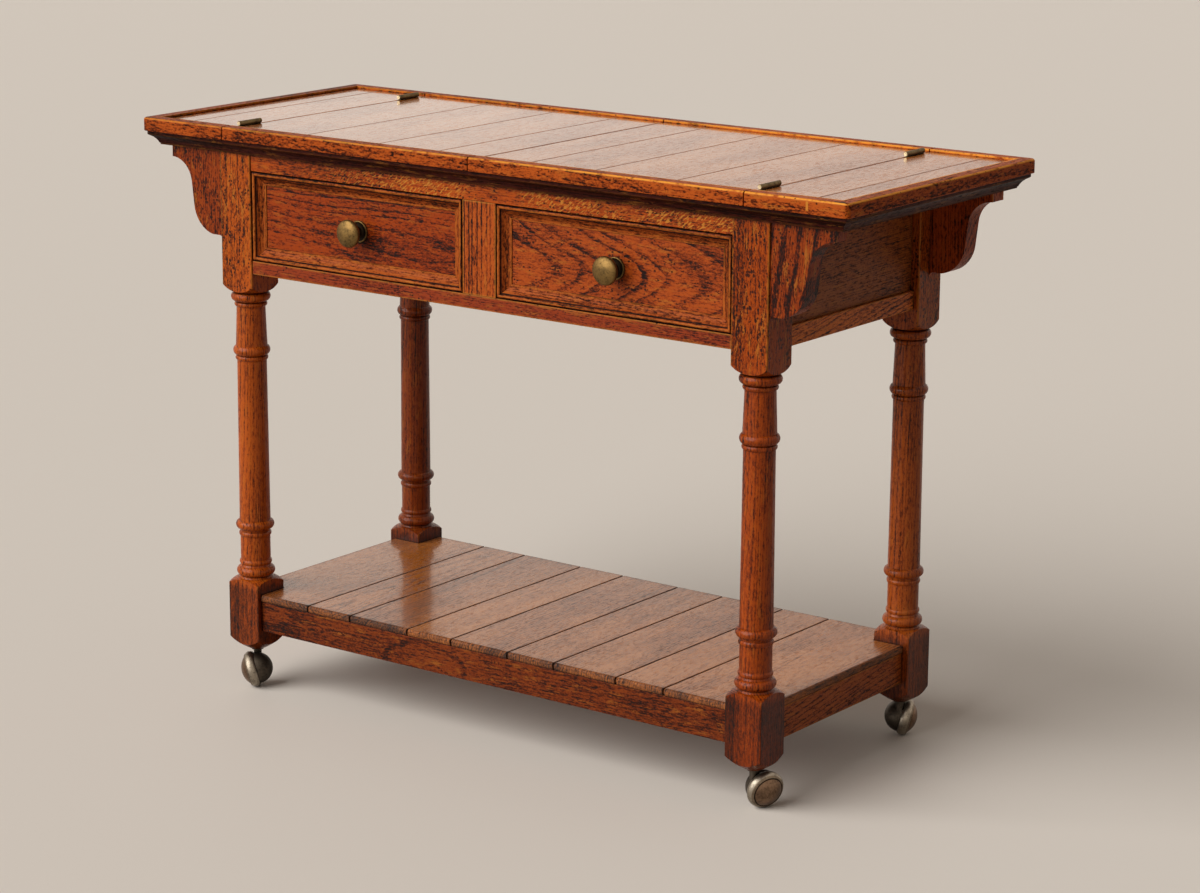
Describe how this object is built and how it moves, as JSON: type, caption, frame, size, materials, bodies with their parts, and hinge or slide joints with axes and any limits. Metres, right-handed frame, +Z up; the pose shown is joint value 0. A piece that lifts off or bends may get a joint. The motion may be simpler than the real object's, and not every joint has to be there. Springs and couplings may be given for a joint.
{
  "type": "flip-top serving trolley",
  "caption": "Oak serving trolley with hinged leaves that flip out over the ends, drawers in a frieze, turned legs, a planked lower shelf and hooded ball casters.",
  "frame": {"origin": "on the floor under the centre of the top", "axes": "+X along the length to the right seen from the drawer side, +Y towards the back, +Z up"},
  "size_m": [1.137, 0.445, 0.7936],
  "materials": {
    "oak": "stained oak under satin varnish",
    "drawer_lining": "plain oak, sealed",
    "hinge_brass": "darkened brass",
    "knob_brass": "aged brass",
    "caster_brass": "aged brass",
    "caster_tread": "polished",
    "axle_steel": "bright",
    "bolt_steel": "zinc plated"
  },
  "bodies": {
    "frame": {"serving_deck": "oak", "top_rail_front": "oak", "bottom_rail_front": "oak", "centre_stile": "oak", "back_panel": "oak", "end_panels": "oak", "end_rails": "oak", "drawer_runners": "oak", "shelf_rail_front": "oak", "shelf_rail_back": "oak", "shelf_rail_ends": "oak", "shelf_planks": "oak", "cornice_front": "oak", "cornice_back": "oak", "cornice_ends": "oak", "corbels_front": "oak", "corbels_back": "oak", "leg_front_left": "oak", "leg_front_right": "oak", "leg_back_left": "oak", "leg_back_right": "oak", "end_top_left": "oak", "end_top_right": "oak", "end_rim_left": "oak", "end_rim_right": "oak", "hinge_plates_fixed": "hinge_brass", "hinge_pins": "hinge_brass", "caster_sockets": "caster_brass"},
    "leaf_left": {"leaf_left_planks": "oak", "leaf_left_rim": "oak", "leaf_left_hinges": "hinge_brass"},
    "leaf_right": {"leaf_right_planks": "oak", "leaf_right_rim": "oak", "leaf_right_hinges": "hinge_brass"},
    "drawer_left": {"drawer_left_front": "oak", "drawer_left_moulding": "oak", "drawer_left_box": "drawer_lining", "drawer_left_bottom": "drawer_lining", "drawer_left_backplate": "knob_brass", "drawer_left_knob": "knob_brass", "drawer_left_knob_bolt": "bolt_steel"},
    "drawer_right": {"drawer_right_front": "oak", "drawer_right_moulding": "oak", "drawer_right_box": "drawer_lining", "drawer_right_bottom": "drawer_lining", "drawer_right_backplate": "knob_brass", "drawer_right_knob": "knob_brass", "drawer_right_knob_bolt": "bolt_steel"},
    "caster_front_left_swivel": {"caster_front_left_hood": "caster_brass", "caster_front_left_axle": "axle_steel"},
    "caster_front_left_wheel": {"caster_front_left_wheel": "caster_tread"},
    "caster_front_right_swivel": {"caster_front_right_hood": "caster_brass", "caster_front_right_axle": "axle_steel"},
    "caster_front_right_wheel": {"caster_front_right_wheel": "caster_tread"},
    "caster_back_left_swivel": {"caster_back_left_hood": "caster_brass", "caster_back_left_axle": "axle_steel"},
    "caster_back_left_wheel": {"caster_back_left_wheel": "caster_tread"},
    "caster_back_right_swivel": {"caster_back_right_hood": "caster_brass", "caster_back_right_axle": "axle_steel"},
    "caster_back_right_wheel": {"caster_back_right_wheel": "caster_tread"}
  },
  "joints": [
    {"name": "leaf_left_flip", "type": "hinge", "parent": "frame", "child": "leaf_left", "pos_m": [-0.4215, 0, 0.7903], "axis": [0, -1, 0], "range_deg": [0, 180]},
    {"name": "leaf_right_flip", "type": "hinge", "parent": "frame", "child": "leaf_right", "pos_m": [0.4215, 0, 0.7903], "axis": [0, 1, 0], "range_deg": [0, 180]},
    {"name": "drawer_left_slide", "type": "slide", "parent": "frame", "child": "drawer_left", "axis": [0, -1, 0], "range_m": [0, 0.25]},
    {"name": "drawer_right_slide", "type": "slide", "parent": "frame", "child": "drawer_right", "axis": [0, -1, 0], "range_m": [0, 0.25]},
    {"name": "caster_front_left_turn", "type": "hinge", "parent": "frame", "child": "caster_front_left_swivel", "pos_m": [-0.41865, -0.17405, 0.05], "axis": [0, 0, 1], "continuous": true},
    {"name": "caster_front_left_roll", "type": "hinge", "parent": "caster_front_left_swivel", "child": "caster_front_left_wheel", "pos_m": [-0.4151, -0.18838, 0.02488], "axis": [-0.7188, -0.6518, -0.2419], "continuous": true},
    {"name": "caster_front_right_turn", "type": "hinge", "parent": "frame", "child": "caster_front_right_swivel", "pos_m": [0.41865, -0.17405, 0.05], "axis": [0, 0, 1], "continuous": true},
    {"name": "caster_front_right_roll", "type": "hinge", "parent": "caster_front_right_swivel", "child": "caster_front_right_wheel", "pos_m": [0.43043, -0.16514, 0.02488], "axis": [0.8822, -0.4039, -0.2419], "continuous": true},
    {"name": "caster_back_left_turn", "type": "hinge", "parent": "frame", "child": "caster_back_left_swivel", "pos_m": [-0.41865, 0.17405, 0.05], "axis": [0, 0, 1], "continuous": true},
    {"name": "caster_back_left_roll", "type": "hinge", "parent": "caster_back_left_swivel", "child": "caster_back_left_wheel", "pos_m": [-0.42078, 0.15944, 0.02488], "axis": [-0.9118, -0.3319, -0.2419], "continuous": true},
    {"name": "caster_back_right_turn", "type": "hinge", "parent": "frame", "child": "caster_back_right_swivel", "pos_m": [0.41865, 0.17405, 0.05], "axis": [0, 0, 1], "continuous": true},
    {"name": "caster_back_right_roll", "type": "hinge", "parent": "caster_back_right_swivel", "child": "caster_back_right_wheel", "pos_m": [0.41873, 0.18882, 0.02488], "axis": [0.8567, 0.4555, -0.2419], "continuous": true}
  ]
}
